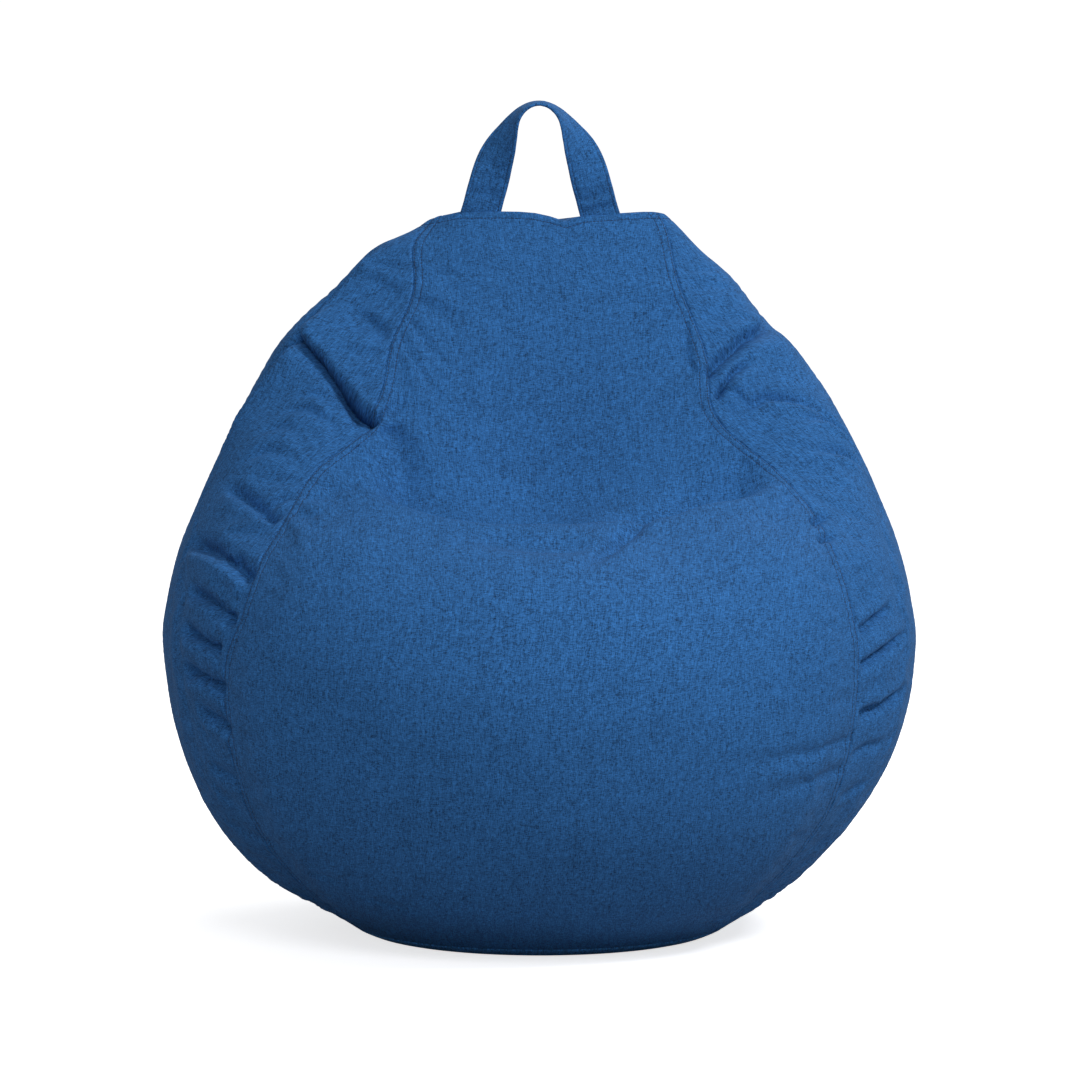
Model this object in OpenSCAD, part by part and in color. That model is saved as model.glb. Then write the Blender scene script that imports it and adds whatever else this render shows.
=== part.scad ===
// Teardrop bean bag chair: a sewn cover of seven panels with a carrying handle and a long back
// zip, over a zipped liner that is full of loose beads.
// Millimetres. +Z is up and -Y is the side that the sitter faces. The origin is the middle of
// the flat footprint, on the floor.

/* [Bag] */
// Widest width of the filled bag
bag_w = 800; // [760:5:840]
// Depth from the front of the seat to the back
bag_d = 780; // [760:5:800]
// Height of the top seam, without the handle
bag_h = 766; // [750:4:790]
// Radius of the round of the base that lies flat on the floor
foot_r = 172; // [160:2:180]

/* [Cloth] */
// Thickness of the cover cloth with its turned edges
cover_t = 2; // [1.5:0.1:2.2]
// Thickness of the liner cloth
liner_t = 1.2; // [0.8:0.1:1.4]
// Gap between two panels at their seam
seam_gap = 1; // [0.6:0.1:2]

/* [Handle] */
// Distance between the middles of the strap's two sewn ends
handle_span = 128; // [110:2:140]
// Height of the arch above the top seam
handle_h = 110; // [90:1:130]
// Width of the strap
strap_w = 42; // [34:1:46]
// Thickness of the folded strap
strap_t = 4; // [3:0.5:5]

/* [Zips] */
// Radius of the arc that the back zips follow
zip_r = 330; // [325:1:335]
// Half width of each zip's tape
tape_half = 15; // [12:1:16]
// Length of the slider's pull tab
pull_len = 30; // [22:1:34]

/* [Hidden] */

CLOTH = [0.19, 0.40, 0.64];
DARK_CLOTH = [0.13, 0.29, 0.49];
COIL = [0.10, 0.22, 0.40];
METAL = [0.62, 0.64, 0.67];
WHITE = [0.93, 0.93, 0.91];

// Outlines of the skin from the base seam up to the top seam. A level is one step in a list, and
// a point is [out from the level's middle, up] for the nominal 800 x 780 x 766 bag.
FRONT = [
    [200, 9], [286, 62], [350, 134], [384, 220], [390, 306], [360, 382], [292, 434],
    [208, 462], [146, 490], [112, 552], [88, 624], [66, 698], [44, 768]
];
SIDE = [
    [200, 9], [288, 69], [350, 140], [387, 222], [400, 308], [395, 358], [382, 410],
    [362, 460], [338, 512], [306, 570], [263, 631], [206, 694], [118, 765]
];
// How far behind the origin the middle of each level lies
MIDDLE = [0, 0, 0, 0, 0, 4, 10, 20, 32, 44, 56, 66, 74];
// How square the front half of each level is: 2 is an ellipse, more is squarer
SQUARE = [2, 2, 2, 2, 2, 2.1, 2.4, 2.8, 3, 2.8, 2.6, 2.4, 2.4];
// The back follows the zip's arc over these angles, on levels 1 to 8, and then leans to the top
BACK_ANGLES = [-43, -28, -13, 1, 11, 20, 29, 39];
BACK_TOP = [[266, 562], [230, 630], [186, 698], [140, 762]];

LEVELS = len(SIDE) - 1;
ROWS = 3 * LEVELS;      // rows of facets from the base seam to the top seam
ARC_Y = bag_d / 2 - zip_r;
ARC_Z = 296 * bag_h / 766;
WIDE = bag_w / 800;
DEEP = bag_d / 780;
TALL = bag_h / 766;

// Seams as angles round the bag, 0 at the front and 90 at the side, one for each level
FRONT_SEAM = [68, 62, 60, 58, 57, 54, 49, 44, 38, 32, 35, 41, 70];
BACK_SEAM = [118, 118, 116, 114, 112, 110, 108, 106, 105, 104, 104, 106, 112];

// Layers, as depths under the skin, and the channel at the back that makes room for the zips
liner_depth = 4.2;
fill_depth = 6.9;
liner_channel = 4.1;
fill_channel = 7.3;
slot_half = 6;          // half the gap between the cover's edges along the zip
liner_slot_half = 5;
slot_levels = [1.2, 8.5];

// Zips, as angles on the arc and as depths under the skin
zip_low = -38.5;
zip_high = 41.5;
slider_angle = 38;
liner_zip_low = -22;
liner_zip_high = 31;
liner_slider_angle = 28;
tape_t = 0.7;
coil_t = 2.6;
coil_half = 3.2;
coil_gap = 0.7;         // half the gap between the two coils
tape_top = zip_r - 3.1;
liner_tape_top = zip_r - 10.8;
liner_coil_t = 2.1;

hinge_y = (MIDDLE[LEVELS] - FRONT[LEVELS][0]) * DEEP + 2;
hinge_z = bag_h + 6;

// ---- Skin of the filled bag ----

function spline(a, b, c, d, t) =
    0.5 * (2 * b + (c - a) * t + (2 * a - 5 * b + 4 * c - d) * t * t
        + (3 * b - a - 3 * c + d) * t * t * t);

function at(list, i) =
    i < 0 ? 2 * list[0] - list[1]
    : i > LEVELS ? 2 * list[LEVELS] - list[LEVELS - 1]
    : list[i];

// Value of a level list at the level v, which need not be whole
function along(list, v) =
    let (i = min(floor(v), LEVELS - 1))
    spline(at(list, i - 1), at(list, i), at(list, i + 1), at(list, i + 2), v - i);

BACK = [
    FRONT[0],
    for (i = [1:8])
        [ARC_Y + zip_r * cos(BACK_ANGLES[i - 1]) - MIDDLE[i] * DEEP,
         (ARC_Z + zip_r * sin(BACK_ANGLES[i - 1])) / TALL],
    for (i = [0:3]) [(BACK_TOP[i][0] - MIDDLE[i + 9]) * DEEP, BACK_TOP[i][1]]
];

// Point of the skin at the angle u round the bag and the level v. The front stretches with the
// depth of the bag, and the back keeps the zip's arc.
function skin(u, v) =
    let (
        ahead = cos(u) > 0,
        side = along(SIDE, v),
        end = along(ahead ? FRONT : BACK, v),
        n = ahead ? along(SQUARE, v) : 2,
        swell = pow(pow(abs(cos(u)), n) + pow(abs(sin(u)), n), -1 / n)
    )
    [
        side[0] * WIDE * swell * sin(u),
        along(MIDDLE, v) * DEEP - end[0] * (ahead ? DEEP : 1) * swell * cos(u),
        (side[1] + (end[1] - side[1]) * cos(u) * cos(u)) * TALL
    ];

function normal(u, v) =
    let (
        low = max(v - 0.04, 0), high = min(v + 0.04, LEVELS),
        round_bag = skin(u + 1, v) - skin(u - 1, v),
        up_bag = skin(u, high) - skin(u, low),
        n = cross(round_bag, up_bag)
    ) n / norm(n);

function under(u, v, depth) = skin(u, v) - depth * normal(u, v);

// Angle of the points beside the back's middle line at the distance x from it
function beside_back(x, v) = 180 - asin(x / (along(SIDE, v)[0] * WIDE));

// 1 along the zips, and 0 near the base and the top
function by_the_zip(v) = min(1, max(0, v - 0.3)) * min(1, max(0, 10 - v));

// ---- Sheets of cloth ----

// Quads of a grid of points, rows of n points each, as triangles
function grid_faces(rows, n, first, flip) = [
    for (r = [0:rows - 2], c = [0:n - 2])
        let (a = first + r * n + c, b = a + 1, d = a + n, e = d + 1)
        each flip ? [[a, d, b], [b, d, e]] : [[a, b, d], [b, e, d]]
];

// A sheet between an outer and an inner grid, closed round its four edges
module sheet(outer, inner) {
    rows = len(outer);
    n = len(outer[0]);
    size = rows * n;
    points = [for (row = outer) each row, for (row = inner) each row];
    rim = [
        for (c = [0:n - 2]) c,
        for (r = [0:rows - 2]) r * n + n - 1,
        for (c = [n - 1:-1:1]) (rows - 1) * n + c,
        for (r = [rows - 1:-1:1]) r * n
    ];
    edges = [
        for (i = [0:len(rim) - 1])
            let (a = rim[i], b = rim[(i + 1) % len(rim)])
            each [[a, b, a + size], [b, b + size, a + size]]
    ];
    polyhedron(points, concat(
        grid_faces(rows, n, 0, true), grid_faces(rows, n, size, false), edges));
}

// A panel of cloth between the seam angles that left and right give at each level, in columns
// that narrow more towards the right the more the crowd is over 1
module panel(left, right, columns, crowd, depth, thick) {
    levels = [for (r = [0:ROWS]) max(0.01, LEVELS * r / ROWS)];
    angle = function (c, v)
        right(v) + (left(v) - right(v)) * pow(1 - c / columns, crowd);
    sheet(
        [for (v = levels) [for (c = [0:columns]) under(angle(c, v), v, depth)]],
        [for (v = levels) [for (c = [0:columns]) under(angle(c, v), v, depth + thick)]]
    );
}

// Half a seam gap, as an angle
function gap_angle(v) = atan(seam_gap / 2 / along(SIDE, v)[0]);
function front_edge(v) = along(FRONT_SEAM, v);
function back_edge(v) = along(BACK_SEAM, v);
function zip_edge(v) =
    beside_back(v > slot_levels[0] && v < slot_levels[1] ? slot_half : seam_gap / 2, v);

module cover_front_panel()
    color(CLOTH)
        panel(function (v) gap_angle(v) - front_edge(v), function (v) front_edge(v) - gap_angle(v),
            18, 1, 0, cover_t);

module cover_right_panel()
    color(CLOTH)
        panel(function (v) front_edge(v) + gap_angle(v), function (v) back_edge(v) - gap_angle(v),
            8, 1, 0, cover_t);

module cover_left_panel()
    mirror([1, 0, 0]) cover_right_panel();

module cover_back_right_panel()
    color(CLOTH)
        panel(function (v) back_edge(v) + gap_angle(v), function (v) zip_edge(v),
            11, 1.25, 0, cover_t);

module cover_back_left_panel()
    mirror([1, 0, 0]) cover_back_right_panel();

// A domed cap inside the ring of the skin at one level
module cap(v, depth, thick, dome) {
    n = 48;
    rings = 4;
    ring = [for (c = [0:n - 1]) under(360 * c / n, v, depth)];
    middle = [0, (ring[0][1] + ring[n / 2][1]) / 2, ring[0][2]];
    face = function (drop) [
        for (k = [0:rings - 1], p = ring)
            let (s = k / rings) p + (middle - p) * s + [0, 0, dome * sin(90 * s) - drop],
        middle + [0, 0, dome - drop]
    ];
    size = n * rings + 1;
    tops = [
        for (k = [0:rings - 2], c = [0:n - 1])
            let (a = k * n + c, b = k * n + (c + 1) % n)
            each [[a, a + n, b], [b, a + n, b + n]],
        for (c = [0:n - 1])
            [(rings - 1) * n + c, size - 1, (rings - 1) * n + (c + 1) % n]
    ];
    unders = [for (f = tops) [f[0] + size, f[2] + size, f[1] + size]];
    wall = [
        for (c = [0:n - 1])
            let (b = (c + 1) % n) each [[c, b, c + size], [b, b + size, c + size]]
    ];
    polyhedron(concat(face(0), face(thick)), concat(tops, unders, wall));
}

module cover_top_panel()
    color(CLOTH) cap(LEVELS, cover_t + seam_gap, cover_t, 6);

// A round base: flat in the middle, with a rim that turns up to the base seam
module base(lift, edge, thick) {
    rise = 7.5;
    rotate_extrude($fn = 96)
        polygon([
            [0, lift], [foot_r, lift], [edge, lift + rise], [edge - 0.4, lift + rise + thick],
            [foot_r - 0.4, lift + thick], [0, lift + thick]
        ]);
}

module cover_base_panel()
    color(DARK_CLOTH) base(0, FRONT[0][0] - 2, cover_t);

// ---- Handle ----

// Middle of the strap at the angle a of its arch, 0 at the left end and 180 at the right one
function strap_middle(a) = [
    -handle_span / 2 * cos(a) * (1 - 0.17 * pow(abs(sin(a)), 0.6)), hinge_y,
    hinge_z + 1 + handle_h * sin(a)
];
function strap_way(a) =
    let (d = strap_middle(a + 0.5) - strap_middle(a - 0.5)) d / norm(d);
// The strap lies flat to the front at its ends and turns its width front to back at the top
function strap_across(a) =
    let (t = strap_way(a), turn = 90 * pow(sin(a), 1.3), inward = [t[2], 0, -t[0]])
    cos(turn) * inward - sin(turn) * [0, 1, 0];

module handle_strap() {
    steps = 28;
    corners = [
        for (i = [0:steps])
            let (
                a = 180 * i / steps,
                m = strap_middle(a),
                w = strap_across(a) * strap_w / 2,
                n = cross(strap_way(a), strap_across(a)) * strap_t / 2
            )
            each [m - w - n, m + w - n, m + w + n, m - w + n]
    ];
    sides = [
        for (i = [0:steps - 1], c = [0:3])
            let (a = 4 * i + c, b = 4 * i + (c + 1) % 4)
            each [[a, a + 4, b], [b, a + 4, b + 4]]
    ];
    last = 4 * steps;
    ends = [[0, 1, 2], [0, 2, 3], [last, last + 2, last + 1], [last, last + 3, last + 2]];
    color(CLOTH) polyhedron(corners, concat(sides, ends));
}

// ---- Zips ----

// A band along the zip's arc: its cross-section is [from, to] out from the arc's centre and
// [from, to] across
module arc_band(radii, across, low, high)
    translate([0, ARC_Y, ARC_Z])
        rotate([90, 0, 90])
            rotate([0, 0, low])
                rotate_extrude(angle = high - low, $fn = 360)
                    translate([radii[0], across[0]])
                        square([radii[1] - radii[0], across[1] - across[0]]);

// Moves a piece drawn with Y out of the bag and Z up along the zip to the angle a on the arc
module on_arc(a)
    translate([0, ARC_Y, ARC_Z])
        rotate([a, 0, 0])
            children();

module block(x, y, z)
    translate([x[0], y[0], z[0]])
        cube([x[1] - x[0], y[1] - y[0], z[1] - z[0]]);

module zip_tape_right()
    color(DARK_CLOTH) arc_band([tape_top - tape_t, tape_top], [coil_gap, tape_half], zip_low, zip_high);

module zip_tape_left()
    mirror([1, 0, 0]) zip_tape_right();

module zip_coil_right()
    color(COIL)
        arc_band([tape_top, tape_top + coil_t], [coil_gap, coil_half], zip_low + 1.4, zip_high - 1.4);

module zip_coil_left()
    mirror([1, 0, 0]) zip_coil_right();

// Two small clamps that end the coils above the closed slider
module zip_top_stops()
    color(METAL)
        for (side = [0, 1])
            mirror([side, 0, 0])
                arc_band([tape_top, tape_top + coil_t + 0.4], [coil_gap, coil_half + 0.4],
                    zip_high - 1.3, zip_high - 0.8);

// One clamp across both coils
module zip_bottom_stop()
    color(METAL)
        arc_band([tape_top, tape_top + coil_t + 0.4], [-coil_half - 0.4, coil_half + 0.4],
            zip_low + 0.7, zip_low + 1.3);

// Cloth tabs that hide the two ends of the tape
module zip_end_tabs()
    color(CLOTH)
        for (low = [zip_low - 0.8, zip_high - 0.7])
            arc_band([tape_top + coil_t + 0.7, tape_top + coil_t + 1.7],
                [2 - slot_half, slot_half - 2], low, low + 1.4);

// Top and bottom plates joined by a post that runs between the coils
module slider_body(top, coil, half_w, half_l) {
    plate = 1.2;
    play = 0.3;
    roof = top + coil + play;
    floor_top = top - tape_t - play;
    block([-half_w, half_w], [roof, roof + plate], [-half_l, half_l]);
    block([-half_w, half_w], [floor_top - plate, floor_top], [-half_l, half_l]);
    block([-0.4, 0.4], [floor_top, roof], [half_l - 3, half_l - 0.5]);
    for (side = [0, 1])
        mirror([side, 0, 0])
            block([half_w - 0.9, half_w], [top + play, roof], [-half_l, half_l]);
}

pin_r = 0.7;
pin_out = tape_top + coil_t + 0.3 + 1.2 + 2.1;  // middle of the bridge's bar
module zip_slider()
    color(METAL)
        on_arc(slider_angle) {
            slider_body(tape_top, coil_t, 4.6, 6);
            for (side = [0, 1])
                mirror([side, 0, 0])
                    block([1.5, 2.5], [pin_out - 2.1, pin_out + 1.1], [-1.2, 1.2]);
            translate([-2, pin_out, 0])
                rotate([0, 90, 0])
                    cylinder(h = 4, r = pin_r, $fn = 32);
        }

module zip_pull() {
    eye_r = 1.8;
    tab_t = 1.2;
    hole_r = 2.2;
    color(METAL)
        on_arc(slider_angle)
            translate([0, pin_out, 0])
                difference() {
                    union() {
                        translate([-1.3, 0, 0])
                            rotate([0, 90, 0])
                                cylinder(h = 2.6, r = eye_r, $fn = 32);
                        block([-1.3, 1.3], [-tab_t / 2, tab_t / 2], [-7, -1]);
                        translate([0, tab_t / 2, 0])
                            rotate([90, 0, 0])
                                linear_extrude(tab_t)
                                    difference() {
                                        polygon([
                                            [-2.2, -6], [2.2, -6], [4, -pull_len + 3],
                                            [2.6, -pull_len], [-2.6, -pull_len], [-4, -pull_len + 3]
                                        ]);
                                        translate([0, 5 - pull_len]) circle(r = hole_r, $fn = 32);
                                    }
                    }
                    translate([-2, 0, 0])
                        rotate([0, 90, 0])
                            cylinder(h = 4, r = pin_r + 0.08, $fn = 32);
                }
}

// ---- Liner and filling ----

// Depth of a layer under the skin, more in the channel behind the zips
function channel_depth(x, v, depth, extra, flat, ramp) =
    depth + extra * by_the_zip(v) * min(1, max(0, (ramp - x) / (ramp - flat)));

// Angles of the columns of a layer: even round the front and sides, then at set distances from
// the back's middle line
function layer_angles(v, beside) = [
    for (u = [0:7.5:150]) u,
    162,
    for (x = beside) beside_back(x, v)
];

function layer_point(u, v, depth, extra, flat, ramp) =
    let (x = abs(skin(u, v)[0]))
    under(u, v, cos(u) < -0.9 ? channel_depth(x, v, depth, extra, flat, ramp) : depth);

// One row of the liner, from the slot on the left of the back round the front to the right
function liner_row(v, lower) =
    let (
        slot = v > 2.2 && v < 7.6 ? liner_slot_half : seam_gap / 2,
        half = layer_angles(v, [32, 17, slot]),
        depth = liner_depth + lower
    )
    [
        for (i = [len(half) - 1:-1:1]) layer_point(-half[i], v, depth, liner_channel, 17, 32),
        for (u = half) layer_point(u, v, depth, liner_channel, 17, 32)
    ];

function layer_levels(depth) =
    let (low = (depth + 4) / 90, high = LEVELS - (depth + 4) / 50)
    [for (r = [0:ROWS]) max(low, min(high, LEVELS * r / ROWS))];

module liner_body()
    color(WHITE)
        sheet(
            [for (v = layer_levels(liner_depth)) liner_row(v, 0)],
            [for (v = layer_levels(liner_depth)) liner_row(v, liner_t)]
        );

module liner_base()
    color(WHITE) base(liner_depth, FRONT[0][0] - 9, liner_t);

module liner_top()
    color(WHITE) cap(LEVELS - (liner_depth + 5) / 50, liner_depth + liner_t + seam_gap, liner_t, 4);

module liner_zip_tapes()
    color(WHITE)
        for (side = [0, 1])
            mirror([side, 0, 0])
                arc_band([liner_tape_top - tape_t, liner_tape_top], [coil_gap, tape_half - 2],
                    liner_zip_low, liner_zip_high);

module liner_zip_coils()
    color(WHITE)
        for (side = [0, 1])
            mirror([side, 0, 0])
                arc_band([liner_tape_top, liner_tape_top + liner_coil_t], [coil_gap, coil_half - 0.4],
                    liner_zip_low + 1.2, liner_zip_high - 1.2);

module liner_zip_stops()
    color(METAL)
        for (low = [liner_zip_low + 0.6, liner_zip_high - 1.1])
            arc_band([liner_tape_top, liner_tape_top + liner_coil_t + 0.3],
                [-coil_half, coil_half], low, low + 0.5);

module liner_zip_slider()
    color(METAL)
        on_arc(liner_slider_angle)
            slider_body(liner_tape_top, liner_coil_t, 4, 5);

function fill_row(v) =
    let (half = layer_angles(v, [36, 15]))
    [
        for (i = [len(half) - 1:-1:1]) layer_point(-half[i], v, fill_depth, fill_channel, 15, 36),
        for (u = half) layer_point(u, v, fill_depth, fill_channel, 15, 36)
    ];

// The packed beads, as one closed body with a flat foot
module bead_fill() {
    rows = [for (v = layer_levels(fill_depth)) fill_row(v)];
    n = len(rows[0]);
    foot = [for (p = rows[0]) [p[0] * 0.78, p[1] * 0.78, fill_depth]];
    crown = [for (p = rows[ROWS]) [p[0] * 0.6, 74 + (p[1] - 74) * 0.6, p[2] + 2]];
    all_rows = concat([foot], rows, [crown]);
    count = len(all_rows);
    points = [for (row = all_rows) each row, [0, 0, fill_depth], [0, 74, crown[0][2] + 1]];
    low = count * n;
    walls = [
        for (r = [0:count - 2], c = [0:n - 1])
            let (a = r * n + c, b = r * n + (c + 1) % n)
            each [[a, a + n, b], [b, a + n, b + n]]
    ];
    ends = [
        for (c = [0:n - 1])
            let (b = (c + 1) % n)
            each [[c, b, low], [(count - 1) * n + b, (count - 1) * n + c, low + 1]]
    ];
    color(WHITE) polyhedron(points, concat(walls, ends));
}

cover_front_panel();
cover_left_panel();
cover_right_panel();
cover_back_left_panel();
cover_back_right_panel();
cover_top_panel();
cover_base_panel();
handle_strap();
zip_tape_left();
zip_tape_right();
zip_coil_left();
zip_coil_right();
zip_top_stops();
zip_bottom_stop();
zip_end_tabs();
zip_slider();
zip_pull();
liner_body();
liner_base();
liner_top();
liner_zip_tapes();
liner_zip_coils();
liner_zip_stops();
liner_zip_slider();
bead_fill();
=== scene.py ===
"""A teardrop bean bag chair in melange blue cloth, seen from a little above its front."""

import math

import bpy
import numpy as np
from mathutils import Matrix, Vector


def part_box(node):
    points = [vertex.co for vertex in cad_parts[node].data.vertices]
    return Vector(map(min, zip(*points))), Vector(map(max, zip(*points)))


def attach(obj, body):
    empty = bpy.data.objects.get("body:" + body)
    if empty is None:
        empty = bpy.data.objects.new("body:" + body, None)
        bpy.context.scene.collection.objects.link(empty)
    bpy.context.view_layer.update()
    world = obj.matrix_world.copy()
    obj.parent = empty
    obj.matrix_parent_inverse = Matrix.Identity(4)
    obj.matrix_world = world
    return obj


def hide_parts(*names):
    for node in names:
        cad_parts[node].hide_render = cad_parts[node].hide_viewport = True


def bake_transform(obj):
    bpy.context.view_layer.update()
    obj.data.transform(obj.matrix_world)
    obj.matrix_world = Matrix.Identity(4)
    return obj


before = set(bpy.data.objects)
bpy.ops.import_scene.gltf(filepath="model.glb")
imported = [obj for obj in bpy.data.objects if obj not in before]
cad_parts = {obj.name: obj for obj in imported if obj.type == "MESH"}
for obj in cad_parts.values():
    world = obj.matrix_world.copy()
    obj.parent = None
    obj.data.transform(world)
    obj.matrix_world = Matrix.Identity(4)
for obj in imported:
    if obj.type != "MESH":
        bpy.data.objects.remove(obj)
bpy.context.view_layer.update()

MM = 0.001

# ---- Skin of the filled bag ------------------------------------------------------------------
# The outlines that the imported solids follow, level by level, as [out, up] in millimetres.

FRONT = np.array([
    [200, 9], [286, 62], [350, 134], [384, 220], [390, 306], [360, 382], [292, 434],
    [208, 462], [146, 490], [112, 552], [88, 624], [66, 698], [44, 768]], float)
SIDE = np.array([
    [200, 9], [288, 69], [350, 140], [387, 222], [400, 308], [395, 358], [382, 410],
    [362, 460], [338, 512], [306, 570], [263, 631], [206, 694], [118, 765]], float)
MIDDLE = np.array([0, 0, 0, 0, 0, 4, 10, 20, 32, 44, 56, 66, 74], float)
SQUARE = np.array([2, 2, 2, 2, 2, 2.1, 2.4, 2.8, 3, 2.8, 2.6, 2.4, 2.4], float)
BACK_ANGLES = np.radians([-43, -28, -13, 1, 11, 20, 29, 39])
BACK_TOP = np.array([[266, 562], [230, 630], [186, 698], [140, 762]], float)
BACK_SEAM = np.array([118, 118, 116, 114, 112, 110, 108, 106, 105, 104, 104, 106, 112], float)
LEVELS = 12
ZIP_R = 330.0
ARC = np.array([60.0, 296.0])
BACK = np.vstack([
    FRONT[0],
    np.c_[ARC[0] + ZIP_R * np.cos(BACK_ANGLES) - MIDDLE[1:9],
          ARC[1] + ZIP_R * np.sin(BACK_ANGLES)],
    np.c_[BACK_TOP[:, 0] - MIDDLE[9:], BACK_TOP[:, 1]]])


def along(table, v):
    """Catmull-Rom through a level list at the levels v."""
    t = np.asarray(table, float)
    ext = np.concatenate([2 * t[:1] - t[1:2], t, 2 * t[-1:] - t[-2:-1]])
    v = np.asarray(v, float)
    i = np.clip(np.floor(v).astype(int), 0, LEVELS - 1)
    f = v - i
    if t.ndim == 2:
        f = f[..., None]
    a, b, c, d = ext[i], ext[i + 1], ext[i + 2], ext[i + 3]
    return 0.5 * (2 * b + (c - a) * f + (2 * a - 5 * b + 4 * c - d) * f ** 2
                  + (3 * b - a - 3 * c + d) * f ** 3)


def skin(u, v):
    """Points of the skin at the angles u (degrees, 0 at the front) and the levels v, in mm."""
    u, v = np.broadcast_arrays(np.asarray(u, float), np.asarray(v, float))
    c, s = np.cos(np.radians(u)), np.sin(np.radians(u))
    ahead = c > 0
    side = along(SIDE, v)
    end = np.where(ahead[..., None], along(FRONT, v), along(BACK, v))
    n = np.where(ahead, along(SQUARE, v), 2.0)
    swell = (np.abs(c) ** n + np.abs(s) ** n) ** (-1 / n)
    return np.stack([
        side[..., 0] * swell * s,
        along(MIDDLE, v) - end[..., 0] * swell * c,
        side[..., 1] + (end[..., 1] - side[..., 1]) * c * c], -1)


def unit(a):
    return a / np.maximum(np.linalg.norm(a, axis=-1, keepdims=True), 1e-9)


def normal(u, v):
    low, high = np.clip(np.asarray(v) - 0.04, 0, LEVELS), np.clip(np.asarray(v) + 0.04, 0, LEVELS)
    return unit(np.cross(skin(u + 1, v) - skin(u - 1, v), skin(u, high) - skin(u, low)))


# ---- Layout ----------------------------------------------------------------------------------
# Seams of the cover as angles round the bag, level by level. The sewn bag isn't quite even, so
# its left and right sides differ a little.

SEAM_R = np.array([66, 60, 59.5, 58.2, 57.5, 55.5, 51.3, 46.8, 40.4, 33.5, 38, 42.5, 62], float)
SEAM_L = np.array([70, 63, 60.5, 58, 56.5, 51.5, 47, 41.5, 38, 31.5, 34.5, 38, 66], float)
SLOT = 5.0                     # half the gap between the cover's edges along the zip
SLOT_V = (1.32, 8.35)


def beside_back(x, v):
    return 180 - np.degrees(np.arcsin(x / along(SIDE, v)[..., 0]))


def smooth(a, b, x):
    t = np.clip((np.asarray(x, float) - a) / (b - a), 0, 1)
    return t * t * (3 - 2 * t)


def zip_edge(v):
    open_part = smooth(SLOT_V[0] - 0.12, SLOT_V[0] + 0.05, v) * (
        1 - smooth(SLOT_V[1] - 0.05, SLOT_V[1] + 0.12, v))
    return beside_back(0.05 + (SLOT - 0.05) * open_part, v)


PANELS = {
    "cover_front": (lambda v: -along(SEAM_L, v), lambda v: along(SEAM_R, v)),
    "cover_right": (lambda v: along(SEAM_R, v), lambda v: along(BACK_SEAM, v)),
    "cover_left": (lambda v: -along(BACK_SEAM, v), lambda v: -along(SEAM_L, v)),
    "cover_back_right": (lambda v: along(BACK_SEAM, v), zip_edge),
    "cover_back_left": (lambda v: -zip_edge(v), lambda v: -along(BACK_SEAM, v)),
}


def spaced(total, fine, step):
    """Distances from 0 to total: the fine ones from both ends, then about step apart."""
    fine = np.array(fine, float)
    n = max(2, int(round((total - 2 * fine[-1]) / step)))
    inner = np.linspace(fine[-1], total - fine[-1], n + 1)
    return np.concatenate([fine[:-1], inner, (total - fine[:-1])[::-1]])


def level_rows(step, fine):
    """Levels whose rows are about step mm apart up the bag, closer at both seams."""
    v = np.linspace(0, LEVELS, 1200)
    climb = np.zeros(len(v))
    for u in (0, 50, 90, 140, 180):
        d = np.linalg.norm(np.diff(skin(u, v), axis=0), axis=1)
        climb[1:] += np.cumsum(d) / 5
    marks = spaced(climb[-1], fine, step)
    return np.interp(marks, climb, v), marks


def panel_grid(name, step_s, step_t, fine):
    """u, v, and for each vertex the distance across from both side seams and up the panel."""
    left, right = PANELS[name]
    v, up = level_rows(step_t, fine)
    widths, rows = [], []
    for vi in v:
        u = np.linspace(left(vi), right(vi), 400)
        d = np.linalg.norm(np.diff(skin(u, vi), axis=0), axis=1)
        rows.append((u, np.concatenate([[0], np.cumsum(d)])))
        widths.append(rows[-1][1][-1])
    widths = np.array(widths)
    base = spaced(widths.max(), fine, step_s)
    n = len(base)
    k = len(fine) - 1
    U = np.zeros((len(v), n))
    S = np.zeros((len(v), n))
    for i, (u, length) in enumerate(rows):
        w = length[-1]
        edge = np.array(fine[:k], float) * min(1, w / (4.0 * fine[-1]))
        inner = np.linspace(fine[-1] * min(1, w / (4.0 * fine[-1])),
                            w - fine[-1] * min(1, w / (4.0 * fine[-1])), n - 2 * k)
        marks = np.concatenate([edge, inner, (w - edge)[::-1]])
        U[i] = np.interp(marks, length, u)
        S[i] = marks
    V = np.repeat(v[:, None], n, 1)
    T = np.repeat(up[:, None], n, 1)
    W = np.repeat(widths[:, None], n, 1)
    return U, V, S, W, T, up[-1]


# ---- Folds -----------------------------------------------------------------------------------
# Each fold is a line of (angle, level) points on the skin, with the depth and half width of its
# groove in mm, how much the cloth stands up on its left and right (height, reach), how far the
# left lip hangs over the groove, how quickly it fades at its start and end (0 to 1), and how
# narrow the groove is on its left side next to its right.

def fold(points, depth, width, left=(0, 20), right=(0, 20), pull=0, ends=(0.25, 0.25), lip=1.0):
    return dict(points=points, depth=depth, width=width, left=left, right=right, pull=pull,
                ends=ends, lip=lip)


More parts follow.
